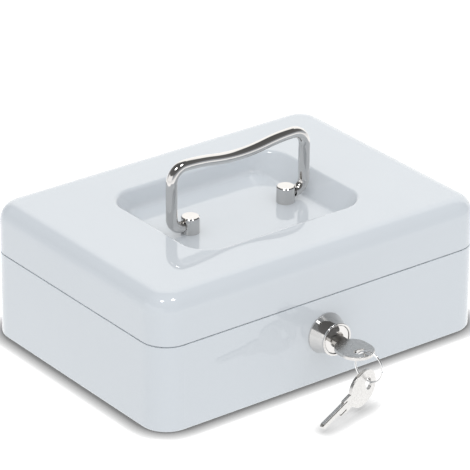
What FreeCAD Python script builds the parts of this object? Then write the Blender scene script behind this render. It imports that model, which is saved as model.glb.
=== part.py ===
import FreeCAD, Part
import math
import os
import Sketcher
from FreeCAD import Vector, Placement, Rotation

# Cash box, millimetres. X to the right, Y to the back, Z up.
# Origin: centre of the flat underside. The front wall is at y = -box_depth / 2.

doc = FreeCAD.newDocument("cash_box")
sheet = doc.addObject("Spreadsheet::Sheet", "dims")

TABLE = [
    # case
    ("box_width", 254), ("box_depth", 183), ("box_height", 90.5),
    ("corner_radius", 18), ("sheet_thick", 0.8),
    ("base_height", 57.6), ("base_edge_radius", 1.2), ("lid_bottom", 58.5),
    ("lid_edge_radius", 11.5), ("rim_inset", 1.2), ("rim_thick", 0.8),
    ("rim_foot", 52.1), ("rim_step", 56.8), ("rim_top", 62.6),
    # handle well in the lid
    ("well_length", 134), ("well_width", 102), ("well_corner", 19),
    ("well_floor_length", 107), ("well_floor_width", 97), ("well_floor_corner", 12),
    ("well_depth", 13), ("well_edge_radius", 2.8), ("well_foot_radius", 4),
    ("skin_x", 0.32), ("skin_y", 0.66),
    # handle and posts
    ("handle_x", 1.5), ("post_x", 37.8), ("post_radius", 6), ("post_height", 11), ("post_chamfer", 0.6),
    ("stud_radius", 2.5), ("stud_length", 5.4), ("stud_gap", 0.1),
    ("pivot_above_floor", 5.4), ("pivot_radius", 2.25), ("pivot_gap", 0.05),
    ("pivot_depth", 6), ("wire_radius", 3.7), ("bail_half", 52.4),
    ("bail_low_bend", 7.7), ("bail_top_bend", 10), ("bail_end_rise", 41.4),
    ("bail_dip", 3.6), ("shoulder_gap", 0.4),
    ("post_washer_radius", 5.5), ("post_washer_thick", 1), ("post_nut_radius", 4.62),
    ("post_nut_thick", 2.8),
    # hinges
    ("hinge_x", 75), ("hinge_half", 18), ("leaf_thick", 1), ("leaf_reach", 15),
    ("knuckle_radius", 2.25), ("knuckle_half", 6), ("knuckle_gap", 0.3),
    ("hinge_pin_radius", 1.2), ("hinge_pin_fit", 0.01), ("hinge_run", 0.06),
    ("hinge_axis_z", 58.05), ("leaf_back", 2.85), ("notch_half", 19.5), ("notch_depth", 2.8),
    ("pin_head_radius", 1.8), ("pin_head_thick", 0.8),
    # lock
    ("lock_height", 33.1), ("bezel_radius", 13.5), ("bezel_front_radius", 10.9),
    ("bezel_length", 12), ("bezel_band", 1), ("bezel_bore", 9.45),
    ("bezel_neck_radius", 10.1), ("bezel_neck", 10.4), ("bezel_bead", 1.4),
    ("housing_head", 9.3), ("housing_radius", 8.5), ("housing_head_length", 10.3),
    ("housing_length", 22.5), ("housing_bore", 6.05), ("lock_hole", 8.6),
    ("nut_radius", 12.7), ("nut_thick", 4), ("nut_gap", 0.02), ("nut_washer_radius", 13),
    ("nut_washer_thick", 0.8),
    ("plug_head", 9), ("plug_head_front", 11.4), ("plug_recess", 5.2), ("recess_depth", 2.8), ("plug_head_thick", 1),
    ("plug_radius", 6), ("plug_end", 24.3), ("tail_half", 3), ("tail_length", 1.9),
    ("keyway_half", 3.45), ("keyway_rise", 1.35), ("keyway_end", 15.5),
    ("wafer_first", 10), ("wafer_pitch", 3.4), ("wafer_thick", 1), ("wafer_half", 4.9),
    ("wafer_rise", 3.4), ("window_half", 3.9), ("window_rise", 1.4),
    ("wafer_play", 0.1), ("spring_half", 1.2), ("spring_thick", 0.25),
    ("spring_low", 4.4), ("spring_top", 3.5),
    ("cam_thick", 2), ("cam_gap", 0.1), ("cam_hub", 8), ("cam_arm_half", 4),
    ("hook_inner", 14.5), ("hook_outer", 18.5), ("hook_angle", 45),
    ("cam_washer_radius", 5.5), ("cam_washer_thick", 0.8),
    ("cam_screw_head", 4), ("cam_screw_head_thick", 2.6), ("cam_screw_radius", 2),
    ("cam_screw_length", 8),
    # catch in the lid
    ("catch_x", 9), ("catch_thick", 1.5), ("catch_flange", 18), ("catch_flange_thick", 1.2),
    ("catch_low", 38.4), ("catch_neck", 64.5), ("catch_top", 80.5),
    ("catch_front", 71), ("catch_back", 61.5),
    ("slot_low", 42.4), ("slot_top", 50), ("slot_front", 68.3), ("slot_back", 63.9),
    # keys and ring
    ("key_thick", 2.3), ("bow_half", 11.2), ("bow_near", 107), ("bow_far", 133.4),
    ("bow_corner", 11), ("bow_edge", 0.4), ("neck_half", 4.4), ("key_stop", 100.2),
    ("blade_half", 3.25), ("blade_cut", 0.7), ("blade_step", 95.5), ("blade_tip", 77.5),
    ("tip_taper", 1.5), ("hole_half", 4), ("hole_near", 123), ("hole_far", 128),
    ("hole_corner", 2.4), ("groove_half", 0.6), ("groove_depth", 0.5), ("groove_x", 1.2),
    ("flute_out", 3), ("flute_in", 2.2), ("flute_end", 103.5), ("flute_depth", 1.1),
    ("rib_out", 2.8), ("rib_in", 2), ("rib_end", 101.5),
    ("ring_radius", 10.2), ("ring_wire", 0.65), ("ring_drop", 7.3), ("ring_hole_y", 125.3),
    ("ring_turn", 15), ("ring_gap_angle", 4),
    ("spare_tilt", 15), ("spare_lean", 0), ("spare_slack", 0), ("spare_shift", 1.5),
    # coin tray
    ("tray_half", 123), ("tray_front", 59), ("tray_back", 88), ("tray_corner", 14),
    ("tray_low", 28.5), ("tray_top", 63.9), ("tray_floor", 2), ("tray_wall", 2.4),
    ("tray_split", 12), ("cup_corner", 7), ("cup_foot", 10), ("note_foot", 5),
    ("flange_reach", 125.5), ("flange_front", 50), ("flange_back", 66), ("flange_root", 121),
    ("tray_seat", 0.02), ("tray_lip_radius", 0.8),
]


class Q:
    """A number and the sheet expression that gives it."""

    def __init__(self, value, text):
        self.value = value
        self.text = text

    def _two(self, other, sign, flip=False):
        o = q(other)
        a, b = (o, self) if flip else (self, o)
        v = {"+": a.value + b.value, "-": a.value - b.value, "*": a.value * b.value}.get(sign)
        if sign == "/":
            v = a.value / b.value
        return Q(v, "(%s %s %s)" % (a.text, sign, b.text))

    def __add__(self, o):
        return self._two(o, "+")

    def __radd__(self, o):
        return self._two(o, "+", True)

    def __sub__(self, o):
        return self._two(o, "-")

    def __rsub__(self, o):
        return self._two(o, "-", True)

    def __mul__(self, o):
        return self._two(o, "*")

    def __rmul__(self, o):
        return self._two(o, "*", True)

    def __truediv__(self, o):
        return self._two(o, "/")

    def __neg__(self):
        return Q(-self.value, "(0 - %s)" % self.text)


def q(x):
    return x if isinstance(x, Q) else Q(float(x), "%.6f" % float(x))


class Names:
    pass


D = Names()
for i, (alias, value) in enumerate(TABLE):
    row = str(i + 1)
    sheet.set("A" + row, alias)
    sheet.set("B" + row, str(value))
    sheet.setAlias("B" + row, alias)
    setattr(D, alias, Q(float(value), "dims." + alias))
doc.recompute()


# ---------------------------------------------------------------- helpers
def bind(obj, prop, value):
    obj.setExpression(prop, q(value).text)


def put(obj, x, y, z, rot=None):
    x, y, z = q(x), q(y), q(z)
    obj.Placement = Placement(Vector(x.value, y.value, z.value), rot or Rotation())
    bind(obj, "Placement.Base.x", x)
    bind(obj, "Placement.Base.y", y)
    bind(obj, "Placement.Base.z", z)


count = [0]


def named(kind, label=None):
    count[0] += 1
    return doc.addObject(kind, label or "o%03d" % count[0])


def box(x0, x1, y0, y1, z0, z1):
    o = named("Part::Box")
    bind(o, "Length", q(x1) - x0)
    bind(o, "Width", q(y1) - y0)
    bind(o, "Height", q(z1) - z0)
    put(o, x0, y0, z0)
    return o


ALONG = {
    "x": Rotation(Vector(0, 1, 0), 90),
    "y": Rotation(Vector(1, 0, 0), -90),
    "z": Rotation(),
}


def cyl(axis, radius, a0, a1, b, c):
    """Cylinder along axis from a0 to a1; b, c are the other two coordinates in order."""
    o = named("Part::Cylinder")
    bind(o, "Radius", radius)
    bind(o, "Height", q(a1) - a0)
    xyz = {"x": (a0, b, c), "y": (b, a0, c), "z": (b, c, a0)}[axis]
    put(o, *xyz, rot=ALONG[axis])
    return o


def cone(radius1, radius2, z0, z1, x, y):
    o = named("Part::Cone")
    bind(o, "Radius1", radius1)
    bind(o, "Radius2", radius2)
    bind(o, "Height", q(z1) - z0)
    put(o, x, y, z0)
    return o


def hexa(axis, radius, a0, a1, b, c):
    o = named("Part::Prism")
    o.Polygon = 6
    bind(o, "Circumradius", radius)
    bind(o, "Height", q(a1) - a0)
    xyz = {"x": (a0, b, c), "y": (b, a0, c), "z": (b, c, a0)}[axis]
    put(o, *xyz, rot=ALONG[axis])
    return o


def fuse(*shapes):
    o = named("Part::MultiFuse")
    o.Shapes = list(shapes)
    o.Refine = True
    return o


def cut(base, *tools):
    o = named("Part::Cut")
    o.Base = base
    o.Tool = tools[0] if len(tools) == 1 else fuse(*tools)
    o.Refine = True
    return o


def group(*shapes):
    o = named("Part::Compound")
    o.Links = list(shapes)
    return o


def body(name):
    return doc.addObject("PartDesign::Body", name + "_body")


def sketch(b, plane, off=0, up=None):
    """Sketch on one of the body's own planes, off along its normal, up along its own y."""
    sk = b.newObject("Sketcher::SketchObject", "sk%03d" % len(doc.Objects))
    org = [f for f in b.Origin.OriginFeatures if f.Role == plane][0]
    sk.AttachmentSupport = [(org, "")]
    sk.MapMode = "FlatFace"
    sk.AttachmentOffset = Placement(Vector(0, q(up).value if up is not None else 0, q(off).value), Rotation())
    bind(sk, "AttachmentOffset.Base.z", off)
    if up is not None:
        bind(sk, "AttachmentOffset.Base.y", up)
    return sk


def fix(sk, kind, geo, pos, value):
    """Holds one coordinate of a sketch point to a sheet expression."""
    value = q(value)
    if abs(value.value) < 1e-9:
        axis = -2 if kind == "DistanceX" else -1
        sk.addConstraint(Sketcher.Constraint("PointOnObject", geo, pos, axis))
        return
    if value.value > 0:
        n = sk.addConstraint(Sketcher.Constraint(kind, -1, 1, geo, pos, value.value))
        sk.setExpression("Constraints[%d]" % n, value.text)
    else:
        n = sk.addConstraint(Sketcher.Constraint(kind, geo, pos, -1, 1, -value.value))
        sk.setExpression("Constraints[%d]" % n, (-value).text)


def circle(sk, r, cx=0, cy=0):
    g = sk.addGeometry(Part.Circle(Vector(q(cx).value, q(cy).value, 0), Vector(0, 0, 1), q(r).value))
    n = sk.addConstraint(Sketcher.Constraint("Radius", g, q(r).value))
    sk.setExpression("Constraints[%d]" % n, q(r).text)
    fix(sk, "DistanceX", g, 3, cx)
    fix(sk, "DistanceY", g, 3, cy)
    return g


def polygon(sk, points):
    pts = [(q(a), q(b)) for a, b in points]
    first = sk.GeometryCount
    n = len(pts)
    for i in range(n):
        a, b = pts[i], pts[(i + 1) % n]
        sk.addGeometry(Part.LineSegment(Vector(a[0].value, a[1].value, 0), Vector(b[0].value, b[1].value, 0)))
    for i in range(n):
        sk.addConstraint(Sketcher.Constraint("Coincident", first + i, 2, first + (i + 1) % n, 1))
    for i in range(n):
        fix(sk, "DistanceX", first + i, 1, pts[i][0])
        fix(sk, "DistanceY", first + i, 1, pts[i][1])


def rounded(sk, x0, x1, y0, y1, r):
    """Rectangle with rounded corners."""
    x0, x1, y0, y1, r = q(x0), q(x1), q(y0), q(y1), q(r)
    a, b, c, d, k = x0.value, x1.value, y0.value, y1.value, r.value
    f = sk.GeometryCount
    v = lambda x, y: Vector(x, y, 0)
    up = Vector(0, 0, 1)
    arc = lambda x, y, s: Part.ArcOfCircle(Part.Circle(v(x, y), up, k), math.radians(s), math.radians(s + 90))
    for g in (
        Part.LineSegment(v(a + k, c), v(b - k, c)), arc(b - k, c + k, 270),
        Part.LineSegment(v(b, c + k), v(b, d - k)), arc(b - k, d - k, 0),
        Part.LineSegment(v(b - k, d), v(a + k, d)), arc(a + k, d - k, 90),
        Part.LineSegment(v(a, d - k), v(a, c + k)), arc(a + k, c + k, 180),
    ):
        sk.addGeometry(g)
    for i in range(8):
        sk.addConstraint(Sketcher.Constraint("Tangent", f + i, 2, f + (i + 1) % 8, 1))
    sk.addConstraint(Sketcher.Constraint("Horizontal", f))
    sk.addConstraint(Sketcher.Constraint("Vertical", f + 2))
    sk.addConstraint(Sketcher.Constraint("Horizontal", f + 4))
    sk.addConstraint(Sketcher.Constraint("Vertical", f + 6))
    for i in (3, 5, 7):
        sk.addConstraint(Sketcher.Constraint("Equal", f + 1, f + i))
    n = sk.addConstraint(Sketcher.Constraint("Radius", f + 1, k))
    sk.setExpression("Constraints[%d]" % n, r.text)
    fix(sk, "DistanceY", f, 1, y0)
    fix(sk, "DistanceX", f + 2, 1, x1)
    fix(sk, "DistanceY", f + 4, 1, y1)
    fix(sk, "DistanceX", f + 6, 1, x0)


def feature(b, kind, sk, length=None, reverse=False):
    f = b.newObject("PartDesign::" + kind, "f%03d" % len(doc.Objects))
    f.Profile = sk
    if length is not None:
        bind(f, "Length", length)
    if reverse:
        f.Reversed = True
    doc.recompute()
    return f


def loft(b, kind, s1, s2):
    f = b.newObject("PartDesign::" + kind, "f%03d" % len(doc.Objects))
    f.Profile = s1
    f.Sections = [s2]
    doc.recompute()
    return f


def turned(b, sk):
    f = b.newObject("PartDesign::Revolution", "f%03d" % len(doc.Objects))
    f.Profile = sk
    f.ReferenceAxis = (sk, ["H_Axis"])
    f.Angle = 360
    doc.recompute()
    return f


def dress(b, kind, prop, size, pick):
    """Fillet or chamfer on the edges of the body's last feature that pick() accepts."""
    tip = b.Tip
    names = ["Edge%d" % (i + 1) for i, e in enumerate(tip.Shape.Edges) if pick(e)]
    if not names:
        raise RuntimeError("no edges picked on " + b.Name)
    f = b.newObject("PartDesign::" + kind, "f%03d" % len(doc.Objects))
    f.Base = (tip, names)
    bind(f, prop, size)
    doc.recompute()
    if f.Shape.isNull() or not f.Shape.isValid():
        raise RuntimeError("bad dress-up on " + b.Name)
    return f


def level(z):
    z = q(z).value
    return lambda e: abs(e.BoundBox.ZMin - z) < 1e-4 and abs(e.BoundBox.ZMax - z) < 1e-4


def level_in(z, x, y):
    z, x, y = q(z).value, q(x).value, q(y).value
    return lambda e: (abs(e.BoundBox.ZMin - z) < 1e-4 and abs(e.BoundBox.ZMax - z) < 1e-4
                      and e.BoundBox.XMax < x and e.BoundBox.XMin > -x
                      and e.BoundBox.YMax < y and e.BoundBox.YMin > -y)


parts = {}


def keep(obj, label):
    obj.Label = label
    parts[label] = obj


half_x = D.box_width / 2
half_y = D.box_depth / 2
front = -half_y
inner_y = half_y - D.sheet_thick
zl = D.lock_height
floor_z = D.box_height - D.well_depth
pivot_z = floor_z + D.pivot_above_floor


def shell_outline(sk, inset):
    rounded(sk, inset - half_x, half_x - inset, inset - half_y, half_y - inset, D.corner_radius - inset)


# ---------------------------------------------------------------- base shell
b = body("base")
sk = sketch(b, "XY_Plane")
shell_outline(sk, q(0))
feature(b, "Pad", sk, D.base_height)
dress(b, "Fillet", "Radius", D.base_edge_radius, level(0))
sk = sketch(b, "XY_Plane", D.base_height)
shell_outline(sk, D.sheet_thick)
feature(b, "Pocket", sk, D.base_height - D.sheet_thick)
dress(b, "Fillet", "Radius", D.base_edge_radius - D.sheet_thick, level(D.sheet_thick))
# stepped rim that stands up inside the lid
sk = sketch(b, "XY_Plane", D.rim_foot)
shell_outline(sk, D.sheet_thick / 2)
shell_outline(sk, D.rim_inset + D.rim_thick)
feature(b, "Pad", sk, D.rim_step - D.rim_foot)
sk = sketch(b, "XY_Plane", D.rim_step)
shell_outline(sk, D.rim_inset)
shell_outline(sk, D.rim_inset + D.rim_thick)
feature(b, "Pad", sk, D.rim_top - D.rim_step)
cuts = [cyl("y", D.lock_hole, front - 1, front + 3, 0, zl)]
for s in (-1, 1):
    hx = s * D.hinge_x
    cuts.append(box(hx - D.notch_half, hx + D.notch_half, inner_y - 4, inner_y, D.rim_foot - 1, D.rim_top + 1))
    cuts.append(box(hx - D.notch_half, hx + D.notch_half, inner_y - 4, half_y + 1, D.base_height - D.notch_depth, D.rim_top + 1))
keep(cut(b, *cuts), "base_shell")


# ---------------------------------------------------------------- lid shell
def lid_solid(name, inset, edge, sx, sy, rim_r, foot_r):
    lb = body(name)
    top = D.box_height - inset
    k = sketch(lb, "XY_Plane", D.lid_bottom)
    shell_outline(k, inset)
    feature(lb, "Pad", k, top - D.lid_bottom)
    dress(lb, "Fillet", "Radius", edge, level(top))
    s1 = sketch(lb, "XY_Plane", top)
    rounded(s1, -(D.well_length / 2 + sx), D.well_length / 2 + sx, -(D.well_width / 2 + sy), D.well_width / 2 + sy, D.well_corner + sy)
    s2 = sketch(lb, "XY_Plane", top - D.well_depth)
    rounded(s2, -(D.well_floor_length / 2 + sx), D.well_floor_length / 2 + sx, -(D.well_floor_width / 2 + sy), D.well_floor_width / 2 + sy, D.well_floor_corner + sy)
    doc.recompute()
    loft(lb, "SubtractiveLoft", s1, s2)
    dress(lb, "Fillet", "Radius", rim_r, level_in(top, D.well_length / 2 + 3, D.well_width / 2 + 3))
    dress(lb, "Fillet", "Radius", foot_r, level_in(top - D.well_depth, D.well_floor_length / 2 + 3, D.well_floor_width / 2 + 3))
    return lb


outer = lid_solid("lid_outer", q(0), D.lid_edge_radius, q(0), q(0), D.well_edge_radius, D.well_foot_radius)
inner = lid_solid("lid_inner", D.sheet_thick, D.lid_edge_radius - D.sheet_thick, D.skin_x, D.skin_y,
                  D.well_edge_radius - D.sheet_thick, D.well_foot_radius + D.sheet_thick)
cuts = [inner]
for s in (-1, 1):
    hx = s * D.hinge_x
    cuts.append(box(hx - D.notch_half, hx + D.notch_half, inner_y - 1, half_y + 1, D.lid_bottom - 1, D.lid_bottom + D.notch_depth))
    cuts.append(cyl("z", D.stud_radius + D.stud_gap, floor_z - 3, floor_z + 3, D.handle_x + s * D.post_x, 0))
keep(cut(outer, *cuts), "lid_shell")

# ---------------------------------------------------------------- hinges
leaf_y0 = inner_y - D.leaf_thick
axis_y = leaf_y0 + D.knuckle_radius
axis_z = D.hinge_axis_z
for s, side in ((-1, "left"), (1, "right")):
    hx = s * D.hinge_x
    a0, a1 = hx - D.hinge_half, hx + D.hinge_half
    k0, k1 = hx - D.knuckle_half, hx + D.knuckle_half
    g = D.knuckle_gap
    low = axis_z - D.leaf_back
    high = axis_z + D.leaf_back
    leaf = fuse(box(a0, a1, leaf_y0, inner_y, low - D.leaf_reach, low),
                box(a0, k0 - g, leaf_y0, inner_y, low - 1, axis_z),
                box(k1 + g, a1, leaf_y0, inner_y, low - 1, axis_z),
                cyl("x", D.knuckle_radius, a0, k0 - g, axis_y, axis_z),
                cyl("x", D.knuckle_radius, k1 + g, a1, axis_y, axis_z))
    keep(cut(leaf, cyl("x", D.hinge_pin_radius + D.hinge_pin_fit, a0 - 1, a1 + 1, axis_y, axis_z)), "hinge_leaf_base_" + side)
    leaf = fuse(box(a0, a1, leaf_y0, inner_y, high, high + D.leaf_reach),
                box(k0, k1, leaf_y0, inner_y, axis_z, high + 1),
                cyl("x", D.knuckle_radius, k0, k1, axis_y, axis_z))
    keep(cut(leaf, cyl("x", D.hinge_pin_radius + D.hinge_run, a0 - 1, a1 + 1, axis_y, axis_z)), "hinge_leaf_lid_" + side)
    keep(fuse(cyl("x", D.hinge_pin_radius, a0 - D.pin_head_thick, a1 + D.pin_head_thick, axis_y, axis_z),
              cyl("x", D.pin_head_radius, a0 - D.pin_head_thick, a0, axis_y, axis_z),
              cyl("x", D.pin_head_radius, a1, a1 + D.pin_head_thick, axis_y, axis_z)), "hinge_pin_" + side)

# ---------------------------------------------------------------- lock fixed parts
b = body("bezel")
sk = sketch(b, "YZ_Plane", 0, zl)
bezel_front = front - D.bezel_length
polygon(sk, [(front, D.bezel_bore), (front, D.bezel_radius), (front - D.bezel_band, D.bezel_radius),
             (front - D.bezel_neck, D.bezel_neck_radius), (bezel_front + D.bezel_bead, D.bezel_front_radius),
             (bezel_front, D.bezel_front_radius), (bezel_front, D.bezel_bore)])
turned(b, sk)


def ring_edge(y, r):
    y, r = q(y).value, q(r).value
    return lambda e: (abs(e.BoundBox.YMin - y) < 1e-4 and abs(e.BoundBox.YMax - y) < 1e-4
                      and abs(e.BoundBox.XMax - r) < 0.05)


dress(b, "Fillet", "Radius", q(0.8), ring_edge(front - D.bezel_band, D.bezel_radius))
dress(b, "Fillet", "Radius", q(0.6), ring_edge(bezel_front, D.bezel_front_radius))
dress(b, "Fillet", "Radius", q(0.35), ring_edge(bezel_front + D.bezel_bead, D.bezel_front_radius))
dress(b, "Fillet", "Radius", q(0.35), ring_edge(bezel_front, D.bezel_bore))
keep(b, "lock_bezel")

head_front = front - D.housing_head_length
keep(cut(fuse(cyl("y", D.housing_head, head_front, front, 0, zl),
              cyl("y", D.housing_radius, front, front + D.housing_length, 0, zl)),
         cyl("y", D.housing_bore, head_front - 1, front + D.housing_length + 1, 0, zl)), "lock_housing")
wall_in = front + D.sheet_thick
keep(cut(cyl("y", D.nut_washer_radius, wall_in, wall_in + D.nut_washer_thick, 0, zl),
         cyl("y", D.housing_radius + D.nut_gap, wall_in - 1, wall_in + 3, 0, zl)), "lock_washer")
nut_y = wall_in + D.nut_washer_thick
keep(cut(hexa("y", D.nut_radius, nut_y, nut_y + D.nut_thick, 0, zl),
         cyl("y", D.housing_radius + D.nut_gap, nut_y - 1, nut_y + D.nut_thick + 1, 0, zl)), "lock_nut")

# ---------------------------------------------------------------- plug and its train
plug_front = front - D.plug_head_front
plug_back = front + D.plug_end
tail_back = plug_back + D.tail_length
wafer_y = [plug_front + D.wafer_first + n * D.wafer_pitch for n in range(5)]
slots = [box(-D.keyway_half, D.keyway_half, plug_front - 1, front + D.keyway_end, zl - D.keyway_rise, zl + D.keyway_rise)]
for wy in wafer_y:
    w = D.wafer_thick / 2 + D.wafer_play
    slots.append(box(-D.plug_radius - 0.1, D.plug_radius + 0.1, wy - w, wy + w, zl - D.wafer_rise - 0.1, zl + D.wafer_rise + 0.1))
slots.append(box(-(D.spring_half + 0.2), D.spring_half + 0.2, wafer_y[0] - 1.5, wafer_y[4] + 1.5, zl - D.spring_low - 0.2, zl - D.wafer_rise))
slots.append(cyl("y", D.plug_recess, plug_front - 1, plug_front + D.recess_depth, 0, zl))
slots.append(cyl("y", D.cam_screw_radius + 0.02, tail_back - D.cam_screw_length, tail_back + 1, 0, zl))
keep(cut(fuse(cyl("y", D.plug_head, plug_front, plug_front + D.plug_head_thick, 0, zl),
              cyl("y", D.plug_radius, plug_front, plug_back, 0, zl),
              box(-D.tail_half, D.tail_half, plug_back - 1, tail_back, zl - D.tail_half, zl + D.tail_half)), *slots), "lock_plug")

wafers = []
bumps = [box(-D.spring_half, D.spring_half, wafer_y[0] - 1.2, wafer_y[4] + 1.2, zl - D.spring_low, zl - D.spring_low + D.spring_thick)]
for wy in wafer_y:
    t = D.wafer_thick / 2
    wafers.append(cut(box(-D.wafer_half, D.wafer_half, wy - t, wy + t, zl - D.wafer_rise, zl + D.wafer_rise),
                      box(-D.window_half, D.window_half, wy - 1, wy + 1, zl - D.window_rise, zl + D.window_rise)))
    bumps.append(box(-D.spring_half, D.spring_half, wy - 0.3, wy + 0.3, zl - D.spring_low, zl - D.spring_top))
keep(group(*wafers), "wafer_tumblers")
keep(fuse(*bumps), "wafer_spring")

cam_y0 = plug_back + D.cam_gap
cam_y1 = cam_y0 + D.cam_thick
hook = cyl("y", D.hook_outer, cam_y0, cam_y1, 0, zl)
bind(hook, "Angle", D.hook_angle)
hook.Placement.Rotation = Rotation(Vector(1, 0, 0), -90).multiply(Rotation(Vector(0, 0, 1), 180))
put(hook, 0, cam_y0, zl, Rotation(Vector(1, 0, 0), -90).multiply(Rotation(Vector(0, 0, 1), 180)))
cam = cut(fuse(cut(hook, cyl("y", D.hook_inner, cam_y0 - 1, cam_y1 + 1, 0, zl)),
               cyl("y", D.cam_hub, cam_y0, cam_y1, 0, zl),
               box(-D.hook_outer, 0, cam_y0, cam_y1, zl - D.cam_arm_half, zl + 1)),
          box(-(D.tail_half + 0.03), D.tail_half + 0.03, cam_y0 - 1, cam_y1 + 1, zl - D.tail_half - 0.03, zl + D.tail_half + 0.03))
keep(cam, "lock_cam")
keep(cut(cyl("y", D.cam_washer_radius, cam_y1, cam_y1 + D.cam_washer_thick, 0, zl),
         cyl("y", D.cam_screw_radius + 0.1, cam_y1 - 1, cam_y1 + 3, 0, zl)), "cam_washer")
screw_y = cam_y1 + D.cam_washer_thick
keep(cut(fuse(cyl("y", D.cam_screw_head, screw_y, screw_y + D.cam_screw_head_thick, 0, zl),
              cyl("y", D.cam_screw_radius, screw_y - D.cam_screw_length, screw_y + 1, 0, zl)),
         box(-0.5, 0.5, screw_y + D.cam_screw_head_thick - 1, screw_y + D.cam_screw_head_thick + 1, zl - 2.6, zl + 2.6),
         box(-2.6, 2.6, screw_y + D.cam_screw_head_thick - 1, screw_y + D.cam_screw_head_thick + 1, zl - 0.5, zl + 0.5)), "cam_screw")

# ---------------------------------------------------------------- catch in the lid
cx0, cx1 = D.catch_x, D.catch_x + D.catch_thick
keep(cut(fuse(box(cx0, cx1, -inner_y, -D.catch_back, D.catch_neck, D.catch_top),
              box(cx0, cx1, -D.catch_front, -D.catch_back, D.catch_low, D.catch_top),
              box(cx0, cx0 + D.catch_flange, -inner_y, D.catch_flange_thick - inner_y, D.catch_neck, D.catch_top)),
         box(cx0 - 1, cx1 + 1, -D.slot_front, -D.slot_back, D.slot_low, D.slot_top)), "lid_catch")

# ---------------------------------------------------------------- handle posts and fasteners
washers, nuts = [], []
under = floor_z - D.sheet_thick
for s, side in ((-1, "left"), (1, "right")):
    px = D.handle_x + s * D.post_x
    top = floor_z + D.post_height
    solid = fuse(cyl("z", D.post_radius, floor_z, top - D.post_chamfer, px, 0),
                 cone(D.post_radius, D.post_radius - D.post_chamfer, top - D.post_chamfer, top, px, 0),
                 cyl("z", D.stud_radius, floor_z - D.stud_length, floor_z + 1, px, 0))
    far = px + s * (D.post_radius + 1)
    near = px + s * (D.post_radius - D.pivot_depth)
    a0, a1 = (far, near) if s < 0 else (near, far)
    keep(cut(solid, cyl("x", D.pivot_radius + D.pivot_gap, a0, a1, 0, pivot_z)), "handle_post_" + side)
    wz = under - D.post_washer_thick
    washers.append(cut(cyl("z", D.post_washer_radius, wz, under, px, 0), cyl("z", D.stud_radius + D.stud_gap, wz - 1, under + 1, px, 0)))
    nz = wz - D.post_nut_thick
    nuts.append(cut(hexa("z", D.post_nut_radius, nz, wz, px, 0), cyl("z", D.stud_radius + 0.02, nz - 1, wz + 1, px, 0)))
keep(group(*washers), "post_washers")
keep(group(*nuts), "post_nuts")

# ---------------------------------------------------------------- bail handle
b = body("bail")
stub = D.post_x + D.post_radius + D.shoulder_gap
end_z = pivot_z + D.bail_end_rise
path = sketch(b, "XZ_Plane")
H, L, T = D.bail_half.value, D.bail_low_bend.value, D.bail_top_bend.value
pz, ez, dip = pivot_z.value, end_z.value, D.bail_dip.value
span = H - T
radius = (span * span / 4 + dip * dip / 4) / dip
c45 = math.sqrt(0.5)
shift = D.handle_x.value
pt = lambda x, z: Vector(x + shift, z, 0)


def arc3(a, m, e):
    return Part.Arc(a, m, e)


half_path = [
    Part.LineSegment(pt(-stub.value, pz), pt(-(H - L), pz)),
    arc3(pt(-(H - L), pz), pt(-(H - L) - L * c45, pz + L - L * c45), pt(-H, pz + L)),
    Part.LineSegment(pt(-H, pz + L), pt(-H, ez - T)),
    arc3(pt(-H, ez - T), pt(-(H - T) - T * c45, ez - T + T * c45), pt(-(H - T), ez)),
]
half_path_right = [
    arc3(pt(H - T, ez), pt(H - T + T * c45, ez - T + T * c45), pt(H, ez - T)),
    Part.LineSegment(pt(H, ez - T), pt(H, pz + L)),
    arc3(pt(H, pz + L), pt(H - L + L * c45, pz + L - L * c45), pt(H - L, pz)),
    Part.LineSegment(pt(H - L, pz), pt(stub.value, pz)),
]
# the bar leaves each corner level, falls to its lowest in the middle and rises again
ang = math.asin((span / 2) / radius)
q1 = pt(-span + radius * math.sin(ang / 2), ez - radius + radius * math.cos(ang / 2))
mid1 = pt(-span / 2, ez - dip / 2)
low = ez - dip + radius
q2 = pt(-radius * math.sin(ang / 2), low - radius * math.cos(ang / 2))
bar = [
    arc3(pt(-span, ez), q1, mid1),
    arc3(mid1, pt(0, ez - dip), pt(span / 2, ez - dip / 2)),
    arc3(pt(span / 2, ez - dip / 2), pt(shift - q1.x, q1.y), pt(span, ez)),
]
for g in half_path + bar + half_path_right:
    n = path.addGeometry(g)
    path.addConstraint(Sketcher.Constraint("Block", n))
prof = sketch(b, "YZ_Plane", D.handle_x - stub)
circle(prof, D.wire_radius, 0, pivot_z)
doc.recompute()
pipe = b.newObject("PartDesign::AdditivePipe", "bail_pipe")
pipe.Profile = prof
pipe.Spine = path
doc.recompute()
reach = D.pivot_depth + D.shoulder_gap - 0.5
sk = sketch(b, "YZ_Plane", D.handle_x - stub - 0.2)
circle(sk, D.pivot_radius, 0, pivot_z)
feature(b, "Pad", sk, reach + 0.2)
sk = sketch(b, "YZ_Plane", D.handle_x + stub - reach)
circle(sk, D.pivot_radius, 0, pivot_z)
feature(b, "Pad", sk, reach + 0.2)
keep(b, "handle_bail")


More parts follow.
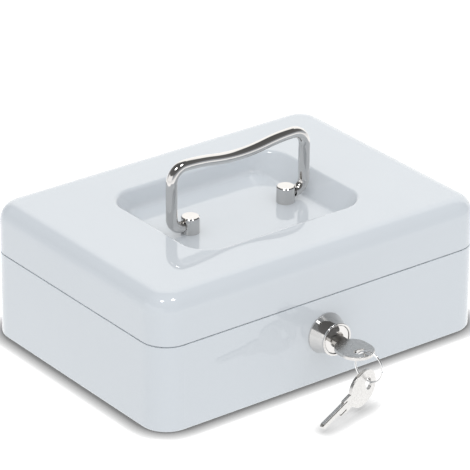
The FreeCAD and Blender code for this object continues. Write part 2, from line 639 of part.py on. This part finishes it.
# ---------------------------------------------------------------- keys
def make_key(name):
    kb = body(name)
    z0 = zl - D.key_thick / 2
    k = sketch(kb, "XY_Plane", z0)
    rounded(k, -D.bow_half, D.bow_half, -D.bow_far, -D.bow_near, D.bow_corner)
    rounded(k, -D.hole_half, D.hole_half, -D.hole_far, -D.hole_near, D.hole_corner)
    feature(kb, "Pad", k, D.key_thick)
    zt = zl + D.key_thick / 2
    on_z = lambda e: (abs(e.BoundBox.ZLength) < 1e-5 and (abs(e.BoundBox.ZMin - z0.value) < 1e-4 or abs(e.BoundBox.ZMax - zt.value) < 1e-4))
    dress(kb, "Fillet", "Radius", D.bow_edge, on_z)
    k = sketch(kb, "XY_Plane", z0)
    polygon(k, [(-D.neck_half, -(D.bow_near + 1.5)), (D.neck_half, -(D.bow_near + 1.5)),
                (D.neck_half, -D.key_stop), (D.blade_half, -D.key_stop),
                (D.blade_half, -D.blade_step), (D.blade_cut, -D.blade_step),
                (D.blade_cut, -(D.blade_tip + D.tip_taper)), (-1, -D.blade_tip),
                (-2, -D.blade_tip), (-D.blade_half, -(D.blade_tip + D.tip_taper)),
                (-D.blade_half, -D.key_stop), (-D.neck_half, -D.key_stop)])
    feature(kb, "Pad", k, D.key_thick)
    k = sketch(kb, "XY_Plane", zt)
    rounded(k, -D.groove_x - D.groove_half, -D.groove_x + D.groove_half, -(D.key_stop - 1), -(D.blade_tip + 3), D.groove_half - 0.05)
    feature(kb, "Pocket", k, D.groove_depth)
    # two grooves on the other face, one along the back of the blade, one short
    k = sketch(kb, "XY_Plane", z0 + D.flute_depth)
    polygon(k, [(-D.flute_out, -D.flute_end), (-D.flute_in, -D.flute_end),
                (-D.flute_in, -(D.blade_tip - 1)), (-D.flute_out, -(D.blade_tip - 1))])
    feature(kb, "Pocket", k, D.flute_depth)
    k = sketch(kb, "XY_Plane", z0 + D.flute_depth)
    polygon(k, [(D.rib_in, -D.rib_end), (D.rib_out, -D.rib_end),
                (D.rib_out, -(D.blade_step - 1)), (D.rib_in, -(D.blade_step - 1))])
    feature(kb, "Pocket", k, D.flute_depth)
    return kb


key = make_key("key")
keep(key, "key")

# direction along which the ring lies, as seen from above
turn = math.radians(D.ring_turn.value)
hdir = Vector(math.sin(turn), -math.cos(turn), 0)
half_chord = math.sqrt(D.ring_radius.value ** 2 - D.ring_drop.value ** 2)
cross = Vector(0, -D.ring_hole_y.value, zl.value)
centre = cross + hdir * half_chord - Vector(0, 0, D.ring_drop.value)
ring_y = Vector(0, 0, 1)
ring_z = hdir.cross(ring_y)
ring_rot = Rotation(hdir, ring_y, ring_z, "ZXY")
ring = named("Part::Torus")
bind(ring, "Radius1", D.ring_radius)
bind(ring, "Radius2", D.ring_wire)
bind(ring, "Angle3", 360 - D.ring_gap_angle)
ring.Placement = Placement(centre, ring_rot.multiply(Rotation(Vector(0, 0, 1), 2)))
keep(ring, "key_ring")

spare = make_key("spare")
tilt = math.radians(D.spare_tilt.value)
lean = math.radians(D.spare_lean.value)
dflat = Vector(-math.cos(turn), -math.sin(turn), 0)
ddir = dflat * math.cos(tilt) - Vector(0, 0, math.sin(tilt))
wdir = dflat * math.sin(tilt) + Vector(0, 0, math.cos(tilt))
wdir = wdir * math.cos(lean) - hdir * math.sin(lean)
xdir = wdir * -1
rot = Rotation(xdir, ddir, xdir.cross(ddir), "XYZ")
hole = Vector(0, -(D.hole_near.value + D.hole_far.value) / 2, zl.value)
bottom = centre - Vector(0, 0, D.ring_radius.value)
target = bottom - wdir * D.spare_slack.value + ddir * D.spare_shift.value
spare.Placement = Placement(target - rot.multVec(hole), rot)
keep(spare, "spare_key")

# ---------------------------------------------------------------- coin tray
b = body("tray")
sk = sketch(b, "XY_Plane", D.tray_low)
rounded(sk, -D.tray_half, D.tray_half, -D.tray_front, D.tray_back, D.tray_corner)
feature(b, "Pad", sk, D.tray_top - D.tray_low)
sk = sketch(b, "XY_Plane", D.rim_top + D.tray_seat)
rounded(sk, -D.flange_reach, -D.flange_root, -D.flange_front, D.flange_back, q(2))
rounded(sk, D.flange_root, D.flange_reach, -D.flange_front, D.flange_back, q(2))
feature(b, "Pad", sk, D.tray_top - D.rim_top - D.tray_seat)
depth = D.tray_top - D.tray_low - D.tray_floor
cup = (D.tray_half * 2 - D.tray_wall * 6) / 5
sk = sketch(b, "XY_Plane", D.tray_top)
for n in range(5):
    x0 = D.tray_wall - D.tray_half + n * (cup + D.tray_wall)
    y0 = D.tray_wall - D.tray_front
    r = D.tray_corner - D.tray_wall if n in (0, 4) else D.cup_corner
    rounded(sk, x0, x0 + cup, y0, D.tray_split - D.tray_wall / 2, D.cup_corner + 4.6)
feature(b, "Pocket", sk, depth)
dress(b, "Fillet", "Radius", D.cup_foot, level(D.tray_low + D.tray_floor))
note = (D.tray_half * 2 - D.tray_wall * 3) / 2
sk = sketch(b, "XY_Plane", D.tray_top)
for n in range(2):
    x0 = D.tray_wall - D.tray_half + n * (note + D.tray_wall)
    rounded(sk, x0, x0 + note, D.tray_split + D.tray_wall / 2, D.tray_back - D.tray_wall, D.cup_corner + 4.6)
feature(b, "Pocket", sk, depth)
split = D.tray_split.value
dress(b, "Fillet", "Radius", D.note_foot, lambda e: level(D.tray_low + D.tray_floor)(e) and e.BoundBox.YMin > split)
keep(b, "coin_tray")

# ---------------------------------------------------------------- checks and export
doc.recompute()
for o in doc.Objects:
    bad = [st for st in o.State if st in ("Invalid", "Error")]
    if bad:
        raise RuntimeError("%s (%s): %s" % (o.Name, o.Label, bad))
os.makedirs("parts", exist_ok=True)
for label in sorted(parts):
    shape = parts[label].Shape
    if shape.isNull() or not shape.isValid():
        raise RuntimeError("bad shape " + label)
    if not shape.Solids:
        raise RuntimeError("no solid in " + label)
    shape.exportStep("parts/%s.step" % label)
    bb = shape.BoundBox
    print("%-24s solids %d vol %10.2f  x %8.2f %8.2f  y %8.2f %8.2f  z %7.2f %7.2f" % (
        label, len(shape.Solids), shape.Volume, bb.XMin, bb.XMax, bb.YMin, bb.YMax, bb.ZMin, bb.ZMax))
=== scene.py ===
import math

import bpy
from mathutils import Matrix, Vector

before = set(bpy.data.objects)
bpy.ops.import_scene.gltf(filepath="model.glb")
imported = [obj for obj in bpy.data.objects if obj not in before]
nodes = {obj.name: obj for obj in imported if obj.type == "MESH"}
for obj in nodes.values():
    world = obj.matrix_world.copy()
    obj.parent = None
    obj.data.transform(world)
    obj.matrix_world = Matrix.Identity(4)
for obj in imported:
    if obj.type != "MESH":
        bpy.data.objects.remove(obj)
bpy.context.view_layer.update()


# ---------------------------------------------------------------- node helpers
def material(name):
    m = bpy.data.materials.new(name)
    m.use_nodes = True
    nt = m.node_tree
    nt.nodes.clear()
    out = nt.nodes.new("ShaderNodeOutputMaterial")
    bsdf = nt.nodes.new("ShaderNodeBsdfPrincipled")
    nt.links.new(bsdf.outputs["BSDF"], out.inputs["Surface"])
    co = nt.nodes.new("ShaderNodeTexCoord")
    return m, nt, bsdf, co.outputs["Object"]


def noise(nt, co, scale, detail=3.0, rough=0.5, stretch=None):
    if stretch:
        mp = nt.nodes.new("ShaderNodeMapping")
        mp.inputs["Scale"].default_value = stretch
        nt.links.new(co, mp.inputs["Vector"])
        co = mp.outputs["Vector"]
    n = nt.nodes.new("ShaderNodeTexNoise")
    n.inputs["Scale"].default_value = scale
    n.inputs["Detail"].default_value = detail
    n.inputs["Roughness"].default_value = rough
    nt.links.new(co, n.inputs["Vector"])
    return n.outputs["Fac"]


def ramp(nt, fac, stops):
    r = nt.nodes.new("ShaderNodeValToRGB")
    els = r.color_ramp.elements
    while len(els) < len(stops):
        els.new(0.5)
    for e, (p, c) in zip(els, stops):
        e.position = p
        e.color = (*c, 1) if not isinstance(c, (int, float)) else (c, c, c, 1)
    nt.links.new(fac, r.inputs["Fac"])
    return r.outputs["Color"]


def span(nt, fac, lo, hi, a=0.3, b=0.7):
    n = nt.nodes.new("ShaderNodeMapRange")
    n.inputs["From Min"].default_value = a
    n.inputs["From Max"].default_value = b
    n.inputs["To Min"].default_value = lo
    n.inputs["To Max"].default_value = hi
    nt.links.new(fac, n.inputs["Value"])
    return n.outputs["Result"]


def bump(nt, bsdf, height, strength, distance):
    b = nt.nodes.new("ShaderNodeBump")
    b.inputs["Strength"].default_value = strength
    b.inputs["Distance"].default_value = distance
    nt.links.new(height, b.inputs["Height"])
    nt.links.new(b.outputs["Normal"], bsdf.inputs["Normal"])
    return b


# ---------------------------------------------------------------- materials
def make_paint():
    m, nt, s, co = material("paint")
    big = noise(nt, co, 9, 2)
    nt.links.new(ramp(nt, big, [(0.25, (0.776, 0.812, 0.842)), (0.75, (0.800, 0.836, 0.864))]), s.inputs["Base Color"])
    nt.links.new(span(nt, noise(nt, co, 60, 3), 0.30, 0.38), s.inputs["Roughness"])
    s.inputs["Specular IOR Level"].default_value = 0.1
    s.inputs["Coat Weight"].default_value = 1.0
    s.inputs["Coat Roughness"].default_value = 0.02
    s.inputs["Coat IOR"].default_value = 1.52
    bump(nt, s, noise(nt, co, 420, 2), 0.02, 0.0003)
    return m


def make_chrome(name="chrome", tint=(0.69, 0.675, 0.66), lo=0.03, hi=0.07):
    m, nt, s, co = material(name)
    s.inputs["Metallic"].default_value = 1
    d = tuple(c * 0.96 for c in tint)
    nt.links.new(ramp(nt, noise(nt, co, 120, 2), [(0.3, d), (0.7, tint)]), s.inputs["Base Color"])
    nt.links.new(span(nt, noise(nt, co, 260, 3), lo, hi), s.inputs["Roughness"])
    return m


def make_metal(name, dark, pale, lo, hi, scale=500, stretch=(1, 1, 1), depth=0.05):
    m, nt, s, co = material(name)
    s.inputs["Metallic"].default_value = 1
    grain = noise(nt, co, scale, 4, 0.6, stretch)
    nt.links.new(ramp(nt, grain, [(0.3, dark), (0.7, pale)]), s.inputs["Base Color"])
    nt.links.new(span(nt, noise(nt, co, 90, 3), lo, hi), s.inputs["Roughness"])
    bump(nt, s, grain, depth, 0.0001)
    return m


def make_plastic():
    m, nt, s, co = material("tray_plastic")
    nt.links.new(ramp(nt, noise(nt, co, 40, 3), [(0.3, (0.018, 0.018, 0.020)), (0.7, (0.026, 0.026, 0.028))]), s.inputs["Base Color"])
    nt.links.new(span(nt, noise(nt, co, 150, 3), 0.38, 0.5), s.inputs["Roughness"])
    bump(nt, s, noise(nt, co, 1500, 2), 0.12, 0.0002)
    return m


paint = make_paint()
chrome = make_chrome()
nickel = make_metal("nickel", (0.60, 0.59, 0.575), (0.70, 0.69, 0.675), 0.22, 0.32, 700, (1, 0.15, 1), 0.04)
ring_steel = make_chrome("ring_steel", (0.80, 0.80, 0.80), 0.08, 0.14)
zinc = make_metal("zinc", (0.50, 0.52, 0.53), (0.64, 0.65, 0.64), 0.28, 0.40, 300)
brass = make_metal("brass", (0.62, 0.46, 0.20), (0.74, 0.57, 0.28), 0.25, 0.35, 400)
plastic = make_plastic()

LOOK = {
    "base_shell": paint, "lid_shell": paint, "coin_tray": plastic,
    "handle_bail": chrome, "handle_post_left": chrome, "handle_post_right": chrome,
    "lock_bezel": chrome, "lock_plug": chrome, "key": nickel, "spare_key": nickel,
    "key_ring": ring_steel, "wafer_tumblers": brass,
}
for name, o in nodes.items():
    o.data.materials.clear()
    o.data.materials.append(LOOK.get(name, zinc))

# ---------------------------------------------------------------- floor, light
def glow(name, z, strength, tint=(1, 1, 1), edge=1.0):
    bpy.ops.mesh.primitive_plane_add(size=14, location=(0, 0, z))
    o = bpy.context.object
    o.name = name
    m, nt, s, co = material(name)
    s.inputs["Roughness"].default_value = 0.8
    s.inputs["Specular IOR Level"].default_value = 0.0
    s.inputs["Base Color"].default_value = (0.06, 0.06, 0.06, 1)
    far = nt.nodes.new("ShaderNodeVectorMath")
    far.operation = "LENGTH"
    nt.links.new(co, far.inputs[0])
    tone = ramp(nt, span(nt, far.outputs["Value"], 0, 1, 0.4, 1.0), [(0.0, tint), (1.0, tuple(c * edge for c in tint))])
    s.inputs["Emission Strength"].default_value = strength
    o.data.materials.append(m)
    return o, nt, s, tone


# the sheet as it is seen, with a painted contact shadow: its glow is darkened by ambient occlusion where the box and
# keys stand
floor, nt, s, tone = glow("floor", 0, 1.3)
ao = nt.nodes.new("ShaderNodeAmbientOcclusion")
ao.samples = 16
ao.inputs["Distance"].default_value = 0.0125
# painted shade: the occlusion value is mapped to a darker floor colour near the box
shade = ramp(nt, ao.outputs["AO"], [(0.48, 0.12), (0.56, 0.16), (0.63, 0.27), (0.74, 0.38), (0.84, 0.52), (0.93, 0.66), (0.97, 0.78), (1.0, 1.0)])
painted_shadow_mix = nt.nodes.new("ShaderNodeMix")
painted_shadow_mix.data_type = "RGBA"
painted_shadow_mix.blend_type = "MULTIPLY"
where = nt.nodes.new("ShaderNodeTexCoord")
part = nt.nodes.new("ShaderNodeSeparateXYZ")
nt.links.new(where.outputs["Object"], part.inputs["Vector"])
# the painted shadow is weaker in front of the box, below the hanging key
nt.links.new(span(nt, part.outputs["Y"], 0.82, 1.0, -0.114, -0.104), painted_shadow_mix.inputs["Factor"])
nt.links.new(tone, painted_shadow_mix.inputs["A"])
nt.links.new(shade, painted_shadow_mix.inputs["B"])
nt.links.new(painted_shadow_mix.outputs["Result"], s.inputs["Emission Color"])
floor.visible_diffuse = False
floor.visible_glossy = False
floor.visible_shadow = False
# the sheet as the gloss mirrors it
mirrored, nt, s, tone = glow("floor_gloss", -0.0003, 1.3, edge=0.78)
nt.links.new(tone, s.inputs["Emission Color"])
mirrored.visible_camera = False
mirrored.visible_diffuse = False
mirrored.visible_shadow = False
# the light that the sheet throws back on the sides
bounce, nt, s, tone = glow("floor_bounce", -0.0005, 0.70, (0.975, 1.0, 1.02))
nt.links.new(tone, s.inputs["Emission Color"])
bounce.visible_camera = False
bounce.visible_glossy = False
bounce.visible_shadow = False

world = bpy.data.worlds.new("studio")
bpy.context.scene.world = world
world.use_nodes = True
world.cycles.sampling_method = "NONE"
nt = world.node_tree
nt.nodes.clear()
out = nt.nodes.new("ShaderNodeOutputWorld")
tc = nt.nodes.new("ShaderNodeTexCoord")
sep = nt.nodes.new("ShaderNodeSeparateXYZ")
nt.links.new(tc.outputs["Generated"], sep.inputs["Vector"])


def facing(direction):
    n = nt.nodes.new("ShaderNodeVectorMath")
    n.operation = "DOT_PRODUCT"
    n.inputs[1].default_value = direction
    nt.links.new(tc.outputs["Generated"], n.inputs[0])
    return n.outputs["Value"]


def times(a, b):
    n = nt.nodes.new("ShaderNodeMath")
    n.operation = "MULTIPLY"
    nt.links.new(a, n.inputs[0])
    nt.links.new(b, n.inputs[1])
    return n.outputs["Value"]


def plus(a, b):
    n = nt.nodes.new("ShaderNodeVectorMath")
    n.operation = "ADD"
    nt.links.new(a, n.inputs[0])
    nt.links.new(b, n.inputs[1])
    return n.outputs["Vector"]


def blend(fac, a, b):
    n = nt.nodes.new("ShaderNodeMix")
    n.data_type = "RGBA"
    nt.links.new(fac, n.inputs["Factor"])
    for socket, value in (("A", a), ("B", b)):
        if isinstance(value, tuple):
            n.inputs[socket].default_value = (*value, 1)
        else:
            nt.links.new(value, n.inputs[socket])
    return n.outputs["Result"]


# gloss: a white backdrop behind, a pale room in front, dark above
room = ramp(nt, sep.outputs["Z"], [(0.0, (0.56, 0.59, 0.63)), (0.20, (0.46, 0.48, 0.51)), (0.36, (0.17, 0.17, 0.17)), (1.0, (0.12, 0.12, 0.12))])
sheet = times(span(nt, sep.outputs["X"], 0, 1, 0.06, 0.34), span(nt, sep.outputs["Y"], 0, 1, -0.05, 0.12))
sheet = times(sheet, span(nt, sep.outputs["Z"], 1, 0, 0.76, 0.82))
room = blend(sheet, room, (1.38, 1.37, 1.34))
# a white panel at the left, low
panel = times(span(nt, sep.outputs["X"], 1, 0, -0.80, -0.62), span(nt, sep.outputs["Z"], 1, 0, 0.36, 0.43))
room = blend(panel, room, (1.2, 1.2, 1.2))
# soft light: stronger from above, and a wide light from the front left
high = span(nt, sep.outputs["Z"], 0, 1, 0, 1)
wide = span(nt, facing((-0.54, -0.84, 0.0)), 0, 1, 0, 1)
soft = plus(blend(high, (0.135, 0.14, 0.144), (1.01, 1.03, 1.055)), blend(wide, (0.0, 0.0, 0.0), (0.54, 0.55, 0.58)))
lp = nt.nodes.new("ShaderNodeLightPath")
sky = blend(lp.outputs["Is Diffuse Ray"], room, soft)
sky = blend(lp.outputs["Is Camera Ray"], sky, (1.05, 1.05, 1.05))
bg = nt.nodes.new("ShaderNodeBackground")
nt.links.new(sky, bg.inputs["Color"])
nt.links.new(bg.outputs["Background"], out.inputs["Surface"])


def area(name, loc, aim, size, power):
    d = bpy.data.lights.new(name, "AREA")
    d.shape = "RECTANGLE"
    d.size, d.size_y = size
    d.energy = power
    o = bpy.data.objects.new(name, d)
    bpy.context.scene.collection.objects.link(o)
    o.location = loc
    o.rotation_mode = "QUATERNION"
    o.rotation_quaternion = (Vector(aim) - Vector(loc)).to_track_quat("-Z", "Y")
    o.visible_camera = False
    return o


def polar(az, el, dist):
    a, e = math.radians(az), math.radians(el)
    return (dist * math.sin(a) * math.cos(e), -dist * math.cos(a) * math.cos(e), dist * math.sin(e))


for name, loc in (("left_box", (-0.895, -0.413, 1.902)), ("front_box", (0.166, -0.805, 1.934))):
    area(name, loc, (-0.117, -0.086, 0.088), (0.42, 0.42), 8).visible_diffuse = False
bpy.context.scene.cycles.caustics_reflective = True
bpy.context.scene.cycles.caustics_refractive = False
bpy.context.scene.cycles.sample_clamp_indirect = 4

# ---------------------------------------------------------------- camera
az, el, roll = math.radians(-37.42), math.radians(25.70), math.radians(0.42)
back = Vector((math.sin(az) * math.cos(el), -math.cos(az) * math.cos(el), math.sin(el)))
right = Vector((math.cos(az), math.sin(az), 0))
upv = back.cross(right)
r2 = right * math.cos(roll) + upv * math.sin(roll)
u2 = upv * math.cos(roll) - right * math.sin(roll)
cam_data = bpy.data.cameras.new("camera")
cam_data.sensor_width = 36
cam_data.lens = 3564.5 / 470 * 36
cam_data.clip_start, cam_data.clip_end = 0.01, 50
cam = bpy.data.objects.new("camera", cam_data)
bpy.context.scene.collection.objects.link(cam)
rot = Matrix((r2, u2, back)).transposed()
cam.matrix_world = Matrix.Translation(Vector((0.02209, 0.03028, 0.04675)) + back * 2.3023) @ rot.to_4x4()
bpy.context.scene.camera = cam
bpy.context.scene.view_settings.view_transform = "Standard"
